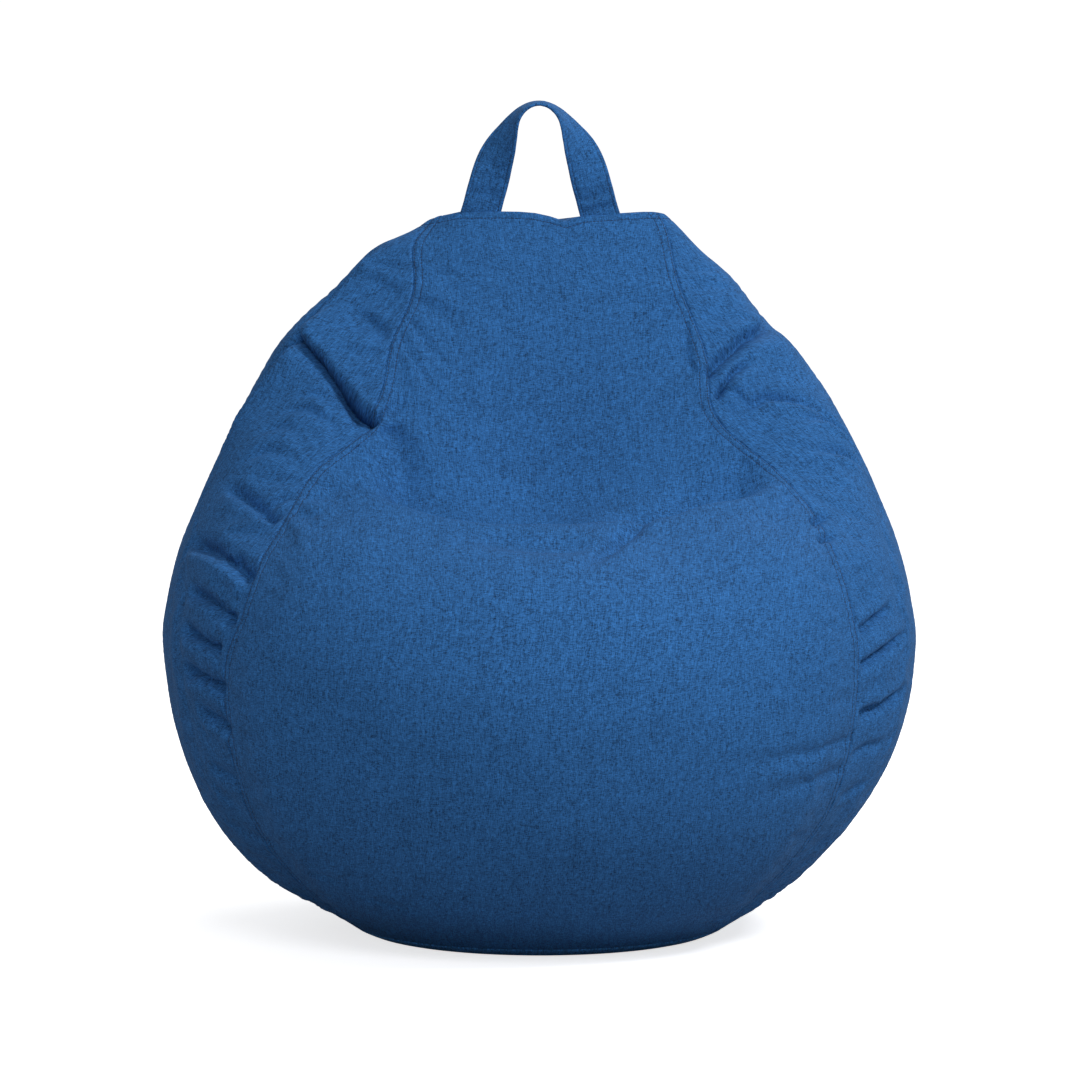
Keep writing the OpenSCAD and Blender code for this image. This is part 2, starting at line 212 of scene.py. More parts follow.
FOLDS = [
    # the deep pinch on the left, where the upper cloth hangs over the arm of the seat
    fold([(-68, 10.1), (-60, 10.02), (-49, 9.79), (-41.5, 9.5), (-34, 9.12), (-29.5, 8.9)],
         21, 13, (12, 40), (5, 50), 9, (0.12, 0.08), 0.25),
    fold([(-47, 9.5), (-40, 9.2), (-34.5, 8.9), (-31, 8.72)], 12, 17, (0, 20), (4, 34),
         ends=(0.5, 0.12)),
    fold([(-30, 8.95), (-26.5, 8.65), (-23.8, 8.18), (-22, 7.7)], 14, 20, (2, 40), (5, 44),
         ends=(0.15, 0.8)),
    # the ridge where the side turns away to the back, on the left
    fold([(-75, 11.5), (-67.5, 10.8), (-66, 10.35), (-65, 10.05), (-64, 9.8), (-68, 9.35),
          (-72, 9.0), (-74, 8.4), (-76.5, 7.55), (-79, 7.0)], 12, 7, (9, 22), (2, 34), 4,
         (0.12, 0.4), 0.4),
    # the crease between backrest and seat
    fold([(-29.2, 8.7), (-26.5, 8.17), (-22.5, 7.55), (-15.8, 7.2), (-9.2, 7.1), (-2.8, 7.1),
          (7.8, 7.2), (14, 7.22)], 16, 22, (0, 40), (15, 46), ends=(0.25, 0.3), lip=1.7),
    fold([(-24, 7.75), (-21, 7.45), (-15.8, 7.2), (-9.2, 7.1), (-2.8, 7.1), (7.8, 7.2),
          (14, 7.22)], 7, 5, (0, 12), (3.5, 14), ends=(0.3, 0.3)),
    fold([(8, 7.15), (14, 7.17), (19, 7.1), (26.2, 7.43), (30.8, 7.52), (37.5, 7.88),
          (41.2, 8.08)], 20, 17, (0, 30), (15, 42), ends=(0.3, 0.35), lip=1.8),
    fold([(10, 7.17), (14, 7.17), (19, 7.1), (26.2, 7.43), (30.8, 7.52)], 6, 5, (0, 12),
         (3, 14), ends=(0.3, 0.5)),
    fold([(18, 7.05), (12.2, 6.42), (8.5, 5.9), (4, 5.4)], 13, 12, (4, 30), (5, 30),
         ends=(0.15, 0.6)),
    fold([(-15, 6.6), (-8, 6.4), (0, 6.25), (7, 6.25), (13, 6.45)], 13, 30,
         (0, 24), (5, 60), ends=(0.4, 0.35), lip=0.8),
    # creases running out of the right pinch
    fold([(34.5, 9.55), (38.5, 9.77), (44, 9.95), (51.8, 10.15), (66, 10.27), (78, 10.36),
          (94, 10.45)], 16, 13, (6, 24), (12, 50), 3, (0.04, 0.45), 0.35),
    fold([(34.5, 9.22), (40.5, 9.57), (50, 9.82)], 12, 8, (3, 14), (8, 28), 2, (0.1, 0.4),
         0.5),
    fold([(38.5, 8.97), (46, 9.15), (55.5, 9.02), (70.2, 8.57)], 10, 5, (1.5, 12), (9, 15),
         ends=(0.25, 0.6), lip=1.6),
    fold([(49, 8.73), (60.2, 8.73), (72, 8.37), (80, 7.72)], 8, 4.5, (1, 12), (7, 12),
         ends=(0.4, 0.5), lip=1.6),
    fold([(47.8, 8.25), (60.5, 8.13), (76, 7.6)], 6.5, 5, (1, 15), (6, 12), ends=(0.5, 0.5),
         lip=1.6),
    fold([(44.8, 6.78), (51.2, 7.05)], 10, 5, (2, 12), (3, 12), ends=(0.15, 0.5)),
    fold([(46, 6.42), (52.5, 6.62)], 7, 4.5, (1.5, 12), (2, 12), ends=(0.15, 0.5)),
    # the upper left, above the pinch
    fold([(-56.5, 10.67), (-42.5, 10.32), (-35.5, 10.03)], 6, 11, (3, 26), (1, 26),
         ends=(0.5, 0.2)),
    # ripples over the left arm
    fold([(-42.8, 9.4), (-38, 9.2), (-33.2, 8.92)], 4, 8, (1, 20), (2, 20), ends=(0.4, 0.4)),
    fold([(-53.2, 9.12), (-45.2, 9.23), (-38, 9.05)], 5, 6, (1.5, 15), (3, 15),
         ends=(0.5, 0.5)),
    fold([(-57, 8.83), (-45.5, 8.97), (-38.8, 8.8), (-34.8, 8.68)], 6, 6, (1.5, 15), (3.5, 15),
         ends=(0.5, 0.4)),
    fold([(-57.2, 8.42), (-49.5, 8.65), (-42.5, 8.55)], 4.5, 6, (1, 15), (3, 15), ends=(0.5, 0.5)),
    fold([(-57.5, 7.87), (-50.2, 8.23), (-42.2, 8.13)], 5.5, 8, (1, 18), (3.5, 18),
         ends=(0.5, 0.5)),
    fold([(-46.5, 7.1), (-43, 7.35), (-39.8, 7.32)], 4.5, 6, (1, 14), (2.5, 14), ends=(0.4, 0.5)),
    # puckers that run into the left seam
    fold([(-61.2, 7.52), (-52.2, 7.33), (-47, 7.08), (-43.5, 6.78)], 11, 6.5, (2, 18), (8, 20),
         ends=(0.35, 0.12), lip=1.5),
    fold([(-72, 6.26), (-59.8, 6.15), (-53, 5.92), (-48.5, 5.58)], 16, 7, (2, 18), (10, 22),
         ends=(0.25, 0.1), lip=1.7),
    fold([(-69, 5.36), (-60.8, 5.2), (-56, 5.0), (-53, 4.76)], 13, 6, (2, 16), (8, 16),
         ends=(0.25, 0.12), lip=1.6),
    fold([(-61, 5.0), (-57.5, 4.9), (-54, 4.82)], 6, 4.5, (1.5, 10), (2, 10),
         ends=(0.5, 0.12)),
    fold([(-70, 4.57), (-63.8, 4.4), (-57, 4.24)], 14, 6.5, (2, 16), (9, 18), ends=(0.25, 0.1),
         lip=1.6),
    fold([(-70, 3.88), (-62.5, 3.8), (-56.5, 3.65)], 13, 6.5, (2, 16), (8, 18), ends=(0.25, 0.1),
         lip=1.6),
    fold([(-66, 3.38), (-61, 3.32), (-56, 3.18)], 9, 6.5, (1, 16), (6, 16), ends=(0.3, 0.15),
         lip=1.5),
    fold([(-67, 2.68), (-62, 2.6), (-58, 2.5)], 5, 8, (1, 16), (4, 16), ends=(0.4, 0.2), lip=1.4),
    fold([(-68, 1.9), (-62, 1.75), (-54, 1.7)], 2.5, 8, (1, 16), (1.5, 18), ends=(0.4, 0.3)),
    # and into the right seam
    fold([(68, 5.1), (61.5, 4.87), (57, 4.67)], 9.5, 5.5, (2, 16), (6, 15), ends=(0.4, 0.12),
         lip=1.4),
    fold([(74, 4.47), (63.8, 4.22), (57.5, 4.05)], 11, 5.5, (2, 16), (7, 15), ends=(0.4, 0.12),
         lip=1.4),
    fold([(75, 3.6), (65.5, 3.47), (58.8, 3.4)], 10, 6, (2, 18), (6, 15), ends=(0.4, 0.12),
         lip=1.4),
    fold([(74, 3.05), (63, 2.95), (58.5, 2.88)], 4, 7, (1.5, 18), (2, 15), ends=(0.5, 0.15),
         lip=1.3),
    fold([(72, 2.5), (66, 2.4), (60, 2.3)], 2.5, 8, (1, 16), (1, 16), ends=(0.5, 0.2)),
    # long shallow drags low on the front
    fold([(59, 3.13), (48, 3.07), (37.5, 3.05), (26, 3.05)], 4, 11, (1, 26), (2.5, 24),
         ends=(0.1, 0.6)),
    fold([(59, 2.75), (45.2, 2.68), (31, 2.56)], 3, 11, (0.8, 26), (2, 24), ends=(0.1, 0.6)),
    fold([(-42, 1.2), (-32.8, 1.0), (-22, 0.95)], 1.6, 8, (0.8, 14), (0.8, 14), ends=(0.4, 0.5)),
    fold([(-54, 1.42), (-44.5, 1.33), (-35, 1.33)], 1.6, 8, (0.8, 14), (0.8, 14), ends=(0.4, 0.5)),
]

# Soft swellings and hollows: (angle, level), reach in mm, height in mm
SWELLS = [
    ((-2, 8.9), 115, -14), ((0, 8.0), 85, -12),
    ((-46, 8.3), 60, 14), ((46, 8.4), 64, 13), ((-27, 6.6), 60, 11), ((31, 6.6), 60, 11),
    ((-38, 10.6), 60, -5), ((0, 5.4), 110, 5),
    ((88, 10.4), 40, -7), ((74, 9.2), 60, 1), ((-84, 1.5), 100, 9), ((-84, 10.0), 60, 8),
    ((-84, 11.6), 50, 15),
    ((86, 1.4), 90, -4),
]

# How much the top edge rises above its even curve, by the distance from the bag's middle
TOP_X = [-150, -118, -104, -86, -45, -22, -5, 11, 28, 38, 50, 100, 150]
TOP_RISE = [-12, -8, -4, 0, 0, -0.5, -2, -5.5, -11, -7, -4, 0.5, 1]


def noise1(x, seed):
    """Smooth noise from -1 to 1 on a line."""
    table = np.random.default_rng(seed).uniform(-1, 1, 4096)
    i = np.floor(x).astype(int)
    f = x - i
    f = f * f * (3 - 2 * f)
    return table[i % 4096] * (1 - f) + table[(i + 1) % 4096] * f


def noise3(p, size, seed):
    """Smooth noise from -1 to 1 in space, with lumps about size mm across."""
    table = np.random.default_rng(seed).uniform(-1, 1, (32, 32, 32))
    q = p / size + 1000.0
    i = np.floor(q).astype(int)
    f = q - i
    f = f * f * (3 - 2 * f)
    out = 0
    for a in (0, 1):
        for b in (0, 1):
            for c in (0, 1):
                w = ((f[..., 0] if a else 1 - f[..., 0]) * (f[..., 1] if b else 1 - f[..., 1])
                     * (f[..., 2] if c else 1 - f[..., 2]))
                out = out + w * table[(i[..., 0] + a) % 32, (i[..., 1] + b) % 32,
                                      (i[..., 2] + c) % 32]
    return out


def fold_lines():
    """Every fold as a dense line of points on the skin."""
    out = []
    for f in FOLDS:
        pts = np.array(f["points"], float)
        t = np.linspace(0, len(pts) - 1, 8 * (len(pts) - 1) + 1)
        line = skin(np.interp(t, range(len(pts)), pts[:, 0]),
                    np.interp(t, range(len(pts)), pts[:, 1]))
        for _ in range(3):
            line[1:-1] = (line[:-2] + 2 * line[1:-1] + line[2:]) / 4
        out.append((f, line))
    return out


LINES = fold_lines()


def sculpt(p, n, v, u):
    """How far the folds and swellings move the points p of the skin, as vectors in mm."""
    flat_p, flat_n = p.reshape(-1, 3), n.reshape(-1, 3)
    height = np.zeros(len(flat_p))
    shift = np.zeros((len(flat_p), 3))
    for f, line in LINES:
        reach = 2.6 * max(f["width"], f["left"][1], f["right"][1])
        near = np.flatnonzero(
            (flat_p > line.min(0) - reach).all(1) & (flat_p < line.max(0) + reach).all(1))
        if not len(near):
            continue
        q, m = flat_p[near], flat_n[near]
        best = np.full(len(q), 1e9)
        place = np.zeros(len(q))
        off = np.zeros((len(q), 3))
        way = np.zeros((len(q), 3))
        steps = np.linalg.norm(np.diff(line, axis=0), axis=1)
        total = steps.sum()
        done = 0.0
        for a, b, s in zip(line[:-1], line[1:], steps):
            d = b - a
            t = np.clip(((q - a) @ d) / (d @ d), 0, 1)
            r = q - (a + t[:, None] * d)
            dist = np.linalg.norm(r, axis=1)
            closer = dist < best
            best[closer] = dist[closer]
            place[closer] = (done + t[closer] * s) / total
            off[closer] = r[closer]
            way[closer] = d / s
            done += s
        side = np.cross(m, way)
        left = (off * side).sum(1) > 0
        fade = (smooth(0, f["ends"][0], place) * (1 - smooth(1 - f["ends"][1], 1, place)))
        wide = np.where(left, f["width"] * f["lip"], f["width"])
        h = -f["depth"] * np.exp(-(best / wide) ** 2)
        for mask, (tall, far) in ((left, f["left"]), (~left, f["right"])):
            h = h + np.where(mask, tall * (1 - np.exp(-best / (0.8 * wide)))
                             * np.exp(-(best / far) ** 2), 0)
        height[near] += fade * h
        if f["pull"]:
            drag = np.where(left, np.exp(-(best / (1.3 * f["width"])) ** 2),
                            np.exp(-(best / 2.2) ** 2))
            shift[near] -= side * (fade * f["pull"] * drag)[:, None]
    for (su, sv), far, tall in SWELLS:
        c = skin(su, sv)
        height += tall * np.exp(-((flat_p - c) ** 2).sum(1) / far ** 2)
    height += 2.2 * noise3(flat_p, 115.0, 5) + 0.7 * noise3(flat_p, 38.0, 6)
    by_zip = smooth(16, 60, np.abs(flat_p[:, 0]))
    back = np.where((np.abs(u.reshape(-1)) > 140) & (v.reshape(-1) < 9.4), by_zip, 1.0)
    foot = smooth(0, 0.9, v.reshape(-1))
    crown = 1 - 0.7 * smooth(11.3, 12, v.reshape(-1))
    height *= back * foot * crown
    out = flat_n * height[:, None] + shift
    # the top edge: its rise at the front, and the corner on the right
    turn = np.cos(np.radians(u.reshape(-1)))
    at_top = smooth(10.9, 12, v.reshape(-1))
    rise = np.interp(flat_p[:, 0], TOP_X, TOP_RISE)
    out[:, 2] += at_top * np.where(flat_p[:, 0] > -100, smooth(-0.5, 0.3, turn), 1) * rise
    out[:, 2] -= at_top * 13 * (1 - smooth(-0.6, 0.5, turn))
    out[:, 0] += at_top ** 2 * 15 * smooth(40, 118, flat_p[:, 0])
    return out.reshape(p.shape)


# ---- Settling of the cloth -------------------------------------------------------------------

SETTLE_U, SETTLE_V = 300, 170


def seam_distance(U, V, p):
    """Rough distance in mm from the nearest upright seam of the cover."""
    best = np.full(U.shape, 1e9)
    for edge in (SEAM_R, -SEAM_L, BACK_SEAM, -BACK_SEAM):
        u = along(edge, V)
        best = np.minimum(best, np.linalg.norm(skin(u, V) - p, axis=-1))
    return best


def settle():
    """The filled cover is drawn in along its seams and pressed out by the beads. Returns how far
    each point of an even grid round and up the bag moves, in mm."""
    v, _ = level_rows(6.5, [0, 6.5])
    v = np.interp(np.linspace(0, len(v) - 1, SETTLE_V), range(len(v)), v)
    u = np.linspace(-180, 180, SETTLE_U, endpoint=False)
    U, V = np.meshgrid(u, v)
    p, n = skin(U, V), normal(U, V)
    start = p + sculpt(p, n, V, U)
    faces = quads(SETTLE_V, SETTLE_U, ring=True)
    low, high = start[0].mean(0), start[-1].mean(0)
    size = SETTLE_U * SETTLE_V
    faces += [[(i + 1) % SETTLE_U, i, size] for i in range(SETTLE_U)]
    faces += [[size - SETTLE_U + i, size - SETTLE_U + (i + 1) % SETTLE_U, size + 1]
              for i in range(SETTLE_U)]
    obj = make("settling", np.concatenate([start.reshape(-1, 3), [low, high]]), faces)
    d = seam_distance(U, V, p)
    calm = smooth(25, 100, d) * (np.abs(U) < 70)
    edges = np.minimum(smooth(0, 0.5, V), 1 - smooth(10.9, 11.9, V))
    upper = 12 * smooth(9, 9.6, V)
    side = smooth(72 - upper, 84 - upper, np.abs(U)) * (1 - smooth(120, 140, np.abs(U)))
    tight = np.maximum(np.exp(-(d / 9) ** 2) * edges,
                       0.24 * np.maximum.reduce([calm, 1 - edges, 0.8 * side]))
    zip_near = (np.abs(U) > 150) * np.exp(-(np.abs(p[..., 0]) / 45) ** 2)
    hold = np.clip(0.12 + 0.6 * calm + 0.4 * side + 0.9 * (1 - edges) + zip_near, 0, 1)
    for name, values in (("seam", tight), ("hold", hold)):
        group = obj.vertex_groups.new(name=name)
        for i, w in enumerate(values.reshape(-1).tolist() + [1.0, 1.0]):
            group.add([i], w, "REPLACE")
    cloth = obj.modifiers.new("cloth", "CLOTH")
    c = cloth.settings
    c.quality = 4
    c.mass = 0.15
    c.tension_stiffness = c.compression_stiffness = 25
    c.shear_stiffness = 8
    c.bending_stiffness = 0.15
    c.tension_damping = c.compression_damping = c.shear_damping = 5
    c.use_pressure = True
    c.uniform_pressure_force = 4
    c.vertex_group_mass = "hold"
    c.pin_stiffness = 0.6
    c.vertex_group_shrink = "seam"
    c.shrink_min = -0.022
    c.shrink_max = 0.07
    c.effector_weights.gravity = 0
    cloth.point_cache.frame_start = 1
    cloth.point_cache.frame_end = 20
    scene = bpy.context.scene
    for frame_number in range(1, 21):
        scene.frame_set(frame_number)
    moved = obj.evaluated_get(bpy.context.evaluated_depsgraph_get()).data
    end = np.empty(len(moved.vertices) * 3, np.float32)
    moved.vertices.foreach_get("co", end)
    end = end.reshape(-1, 3)[:size].reshape(start.shape) / MM
    scene.frame_set(1)
    bpy.data.objects.remove(obj, do_unlink=True)
    move = end - start
    length = np.linalg.norm(move, axis=-1, keepdims=True)
    move *= np.tanh(length / 7.0) * 7.0 / np.maximum(length, 1e-6)
    return v, move


def settled(U, V, field):
    """The movement at any angle and level, by cubic steps through the grid."""
    levels, move = field
    x = (U + 180) / 360 * SETTLE_U
    y = np.interp(V, levels, np.arange(SETTLE_V))
    i, j = np.floor(x).astype(int), np.clip(np.floor(y).astype(int), 0, SETTLE_V - 2)
    fx, fy = (x - i)[..., None], (y - j)[..., None]

    def weights(f):
        return (0.5 * (-f + 2 * f ** 2 - f ** 3), 0.5 * (2 - 5 * f ** 2 + 3 * f ** 3),
                0.5 * (f + 4 * f ** 2 - 3 * f ** 3), 0.5 * (f ** 3 - f ** 2))

    out = 0
    for a, wa in enumerate(weights(fx)):
        for b, wb in enumerate(weights(fy)):
            out = out + wa * wb * move[np.clip(j + b - 1, 0, SETTLE_V - 1),
                                       (i + a - 1) % SETTLE_U]
    return out


# ---- Meshes ----------------------------------------------------------------------------------

def make(name, points, faces, smooth_shading=True):
    mesh = bpy.data.meshes.new(name)
    mesh.from_pydata([tuple(q) for q in np.asarray(points) * MM], [], faces)
    mesh.validate()
    if smooth_shading:
        mesh.polygons.foreach_set("use_smooth", [True] * len(mesh.polygons))
    obj = bpy.data.objects.new(name, mesh)
    bpy.context.scene.collection.objects.link(obj)
    return obj


def quads(rows, cols, first=0, ring=False):
    r, c = np.meshgrid(np.arange(rows - 1), np.arange(cols if ring else cols - 1), indexing="ij")
    a = first + r * cols + c
    b = first + r * cols + (c + 1) % cols
    return np.stack([a, b, b + cols, a + cols], -1).reshape(-1, 4).tolist()


def attribute(obj, name, values):
    """A vector for each vertex, for the materials to read."""
    at = obj.data.attributes.new(name, "FLOAT_VECTOR", "POINT")
    at.data.foreach_set("vector", np.asarray(values, np.float32).reshape(-1))


FINE = [0, 0.7, 1.5, 2.4, 3.6, 5, 6.6, 8.2, 9.2, 10, 10.8, 12.2, 14.5, 17.5]


def cover_panel(name, step_s, step_t, band, turn, number):
    """One panel of the cover. band says which of its side seams lie under its own topstitching."""
    U, V, S, W, T, top = panel_grid(name, step_s, step_t, FINE)
    p = skin(U, V)
    n = normal(U, V)
    out = p + sculpt(p, n, V, U)
    if FIELD:
        out += settled(U, V, FIELD)
    left, right = S, W - S
    # cloth rolls down into each seam, and a felled seam makes a band beside it
    h = np.zeros(S.shape)
    for d, has, seed in ((left, band[0], 11), (right, band[1], 23)):
        h -= 1.5 * np.exp(-(d / 1.3) ** 2)
        if has:
            h += 0.5 * (1 - smooth(10.4, 12.6, d))
            h -= 1.0 * np.exp(-((d - 10) / 0.9) ** 2) + 0.8 * np.exp(-((d - 2.4) / 0.7) ** 2)
        gather = noise1(T / 9.0, seed + 2 * number) + 0.7 * noise1(T / 5.0 + 40, seed + number)
        h += 0.75 * gather * np.exp(-d / 13) * smooth(0, 3, d) * smooth(0, 40, top - T)
    h -= 1.8 * np.exp(-((top - T) / 1.6) ** 2) + 1.5 * np.exp(-(T / 1.8) ** 2)
    if number < 3:
        h -= 0.9 * np.exp(-((top - T - 10) / 0.9) ** 2)
    out = out + n * h[..., None]
    rows, cols = S.shape
    points = [out.reshape(-1, 3)]
    faces = quads(rows, cols)
    base = rows * cols
    # the seam allowance, turned in all round
    rim = np.concatenate([
        np.arange(cols - 1), np.arange(rows - 1) * cols + cols - 1,
        (rows - 1) * cols + np.arange(cols - 1, 0, -1), np.arange(rows - 1, 0, -1) * cols])
    inward = n.reshape(-1, 3)[rim]
    at_zip = (np.abs(U.reshape(-1)[rim]) > 170) & (V.reshape(-1)[rim] > 0.9) & (
        V.reshape(-1)[rim] < 9)
    deep = np.where(at_zip, 2.3, turn)[:, None]
    points.append(points[0][rim] - inward * deep)
    k = len(rim)
    faces += [[int(rim[(i + 1) % k]), int(rim[i]), base + i, base + (i + 1) % k]
              for i in range(k)]
    obj = make(name, np.concatenate(points), faces)
    grain = np.stack([S - W / 2 + 1000 * number, T, 0 * S], -1).reshape(-1, 3)
    attribute(obj, "grain", np.concatenate([grain, grain[rim]]))
    GRIDS[name] = (out, n, S, W, T, top)
    return obj


GRIDS = {}
FIELD = settle()
STEP = 3.3      # mm between the vertices of the front panel
cover = {}
for number, (name, band) in enumerate((
        ("cover_front", (True, True)), ("cover_right", (False, False)),
        ("cover_left", (False, False)), ("cover_back_right", (True, False)),
        ("cover_back_left", (False, True)))):
    across = STEP * (1, 0.8, 0.8, 1.3, 1.3)[number]
    cover[name] = cover_panel(name, across, STEP * 1.1, band, 5.0, number)


# ---- Top, base, liner and beads --------------------------------------------------------------

def ring_points(v, count, extra=0.0):
    """A ring of the sculpted skin at one level, moved extra mm inward."""
    u = np.linspace(-180, 180, count, endpoint=False)
    vv = np.full(count, float(v))
    p, n = skin(u, vv), normal(u, vv)
    return p + sculpt(p, n, vv, u) - n * extra, n


def disc(name, ring, centre, rings, lift, dip=1.8):
    """A panel sewn to a ring: lift(s, angle) is its height over the flat of the ring."""
    count = len(ring)
    s = np.concatenate([[0, 0.012, 0.03, 0.055, 0.09, 0.13], np.linspace(0.17, 0.985, rings)])
    pts = []
    for k in s:
        row = ring + (centre - ring) * k
        row[:, 2] += lift(k, np.linspace(0, 2 * np.pi, count, endpoint=False))
        row[:, 2] -= dip * math.exp(-(k / 0.018) ** 2)
        pts.append(row)
    pts = np.concatenate(pts)
    pts = np.concatenate([pts, [centre + np.array([0, 0, lift(1.0, np.zeros(1))[0]])]])
    faces = quads(len(s), count, ring=True)
    last = (len(s) - 1) * count
    faces += [[last + i, last + (i + 1) % count, len(pts) - 1] for i in range(count)]
    obj = make(name, pts, faces)
    attribute(obj, "grain", np.stack([pts[:, 0] + 6000, pts[:, 1], pts[:, 2] * 0], -1))
    return obj


def top_lift(s, a):
    return -3.0 * np.sin(np.pi / 2 * s) + 1.5 * np.sin(5 * a + 3 * s) * s * (1 - s)


ring, _ = ring_points(LEVELS, 220, 0.6)
top_centre = ring.mean(0)
cover_top = disc("cover_top", ring, top_centre, 16, top_lift)

base_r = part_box("cover_base_panel")[1].x / MM
BASE_COUNT = 260               # vertices round the base
u = np.linspace(-180, 180, BASE_COUNT, endpoint=False)
dirs = np.stack([np.sin(np.radians(u)), -np.cos(np.radians(u)), 0 * u], -1)
profile = [(base_r - 3, 15), (base_r + 0.2, 12), (base_r + 1.3, 10.2), (base_r + 1.2, 8.8),
           (base_r - 0.2, 7.6), (base_r - 3, 6.2), (base_r - 9, 3.6), (base_r - 14, 1.7),
           (base_r - 19, 0.5), (base_r - 24, 0.05), (base_r - 30, 0)] + [
    (r, 0) for r in range(155, 0, -15)]
pts = np.concatenate([dirs * r + [0, 0, z] for r, z in profile] + [[[0, 0, 0]]])
last = (len(profile) - 1) * BASE_COUNT
faces = quads(len(profile), BASE_COUNT, ring=True)
faces += [[len(pts) - 1, last + i, last + (i + 1) % BASE_COUNT] for i in range(BASE_COUNT)]
cover_base = make("cover_base", pts, faces)
attribute(cover_base, "grain", np.stack([pts[:, 0] + 9000, pts[:, 1], pts[:, 2] * 0], -1))


def inner_bag(name, depth, channel, half, slot, low, high):
    """A bag inside the cover that keeps clear of its folds, and of the zips at the back."""
    count, levels = 180, 90
    u = np.linspace(-180, 180, 2 * count, endpoint=False) + 180.0 / count
    v = np.linspace(low, high, 2 * levels - 1)
    U, V = np.meshgrid(u, v)
    p, n = skin(U, V), normal(U, V)
    moves = sculpt(p, n, V, U)
    if FIELD:
        moves += settled(U, V, FIELD)
    move = (moves * n).sum(-1)
    move = np.minimum.reduce([move, np.roll(move, 1, 1), np.roll(move, -1, 1),
                              np.vstack([move[:1], move[:-1]]),
                              np.vstack([move[1:], move[-1:]])])
    u, v, U, V = u[::2], v[::2], U[::2, ::2], V[::2, ::2]
    p, n, move = p[::2, ::2], n[::2, ::2], move[::2, ::2]
    for _ in range(4):      # the lowest of the neighbours, so no fold is cut
        move = np.minimum.reduce([move, np.roll(move, 1, 1), np.roll(move, -1, 1),
                                  np.vstack([move[:1], move[:-1]]),
                                  np.vstack([move[1:], move[-1:]])])
    for _ in range(2):
        move = np.minimum(move, (np.roll(move, 1, 1) + np.roll(move, -1, 1)
                                 + np.vstack([move[:1], move[:-1]])
                                 + np.vstack([move[1:], move[-1:]])) / 4)
    move = np.minimum(move, 0)
    x = np.abs(p[..., 0])
    extra = channel * np.clip((half - x) / (half - 17), 0, 1) * (np.abs(U) > 150) * np.clip(
        V - 0.3, 0, 1) * np.clip(10 - V, 0, 1)
    q = p + n * (move - depth - extra)[..., None]
    q[..., 2] -= smooth(10.9, 12, V) * 13 * (1 - smooth(-0.6, 0.5, np.cos(np.radians(U))))
    pts = q.reshape(-1, 3)
    faces = quads(levels, count, ring=True)
    if slot:
        gap = {i * count + count - 1 for i in range(levels) if 2.2 < v[i] < 7.6}
        faces = [f for f in faces if not (f[0] in gap and f[0] + count in gap)]
    bottom, crown = q[0].mean(0), q[-1].mean(0)
    bottom[2], crown[2] = q[0][:, 2].min() - 2.0, crown[2] + 1.5
    b = len(pts)
    pts = np.concatenate([pts, q[0] * [0.85, 0.85, 0] + [0, 0, depth + 0.4], [bottom], [crown]])
    pts[b + count] = [0, 0, depth + 0.4]
    faces += [[b + (i + 1) % count, b + i, i, (i + 1) % count][::-1] for i in range(count)]
    faces += [[b + (i + 1) % count, b + i, b + count] for i in range(count)]
    faces += [[(levels - 1) * count + i, (levels - 1) * count + (i + 1) % count, b + count + 1]
              for i in range(count)]
    obj = make(name, pts, faces)
    attribute(obj, "grain", pts)
    return obj


liner = inner_bag("liner_bag", 4.4, 4.1, 32, True, 0.09, 11.84)
beads = inner_bag("bead_filling", 8.0, 7.3, 36, False, 0.14, 11.74)


# ---- Handle ----------------------------------------------------------------------------------

HINGE_Y, HINGE_Z = 32.0, 772.0
STRAP_W, STRAP_T = 42.0, 4.0


TURN_AT = [0, 0.15, 0.30, 0.47, 0.58, 0.66, 0.76, 0.86, 0.94, 1]
TURN = [0, 0.03, 0.12, 0.29, 0.44, 0.57, 0.73, 0.87, 0.95, 1]


# How far the strap leans in at each part of its height
LEAN_AT = [0, 0.1, 0.2, 0.3, 0.44, 0.58, 0.7, 0.8, 0.9, 1]
LEAN = [0.95, 0.914, 0.876, 0.852, 0.824, 0.783, 0.755, 0.76, 0.785, 0.8]


def strap_middle(a):
    s, c = np.maximum(np.sin(a), 0), np.cos(a)
    low = np.minimum(np.sin(a), 0)
    return np.stack([-64 * c * np.interp(s, LEAN_AT, LEAN), HINGE_Y + 0 * a,
                     HINGE_Z + 1 + 110 * s + 110 * low], -1)


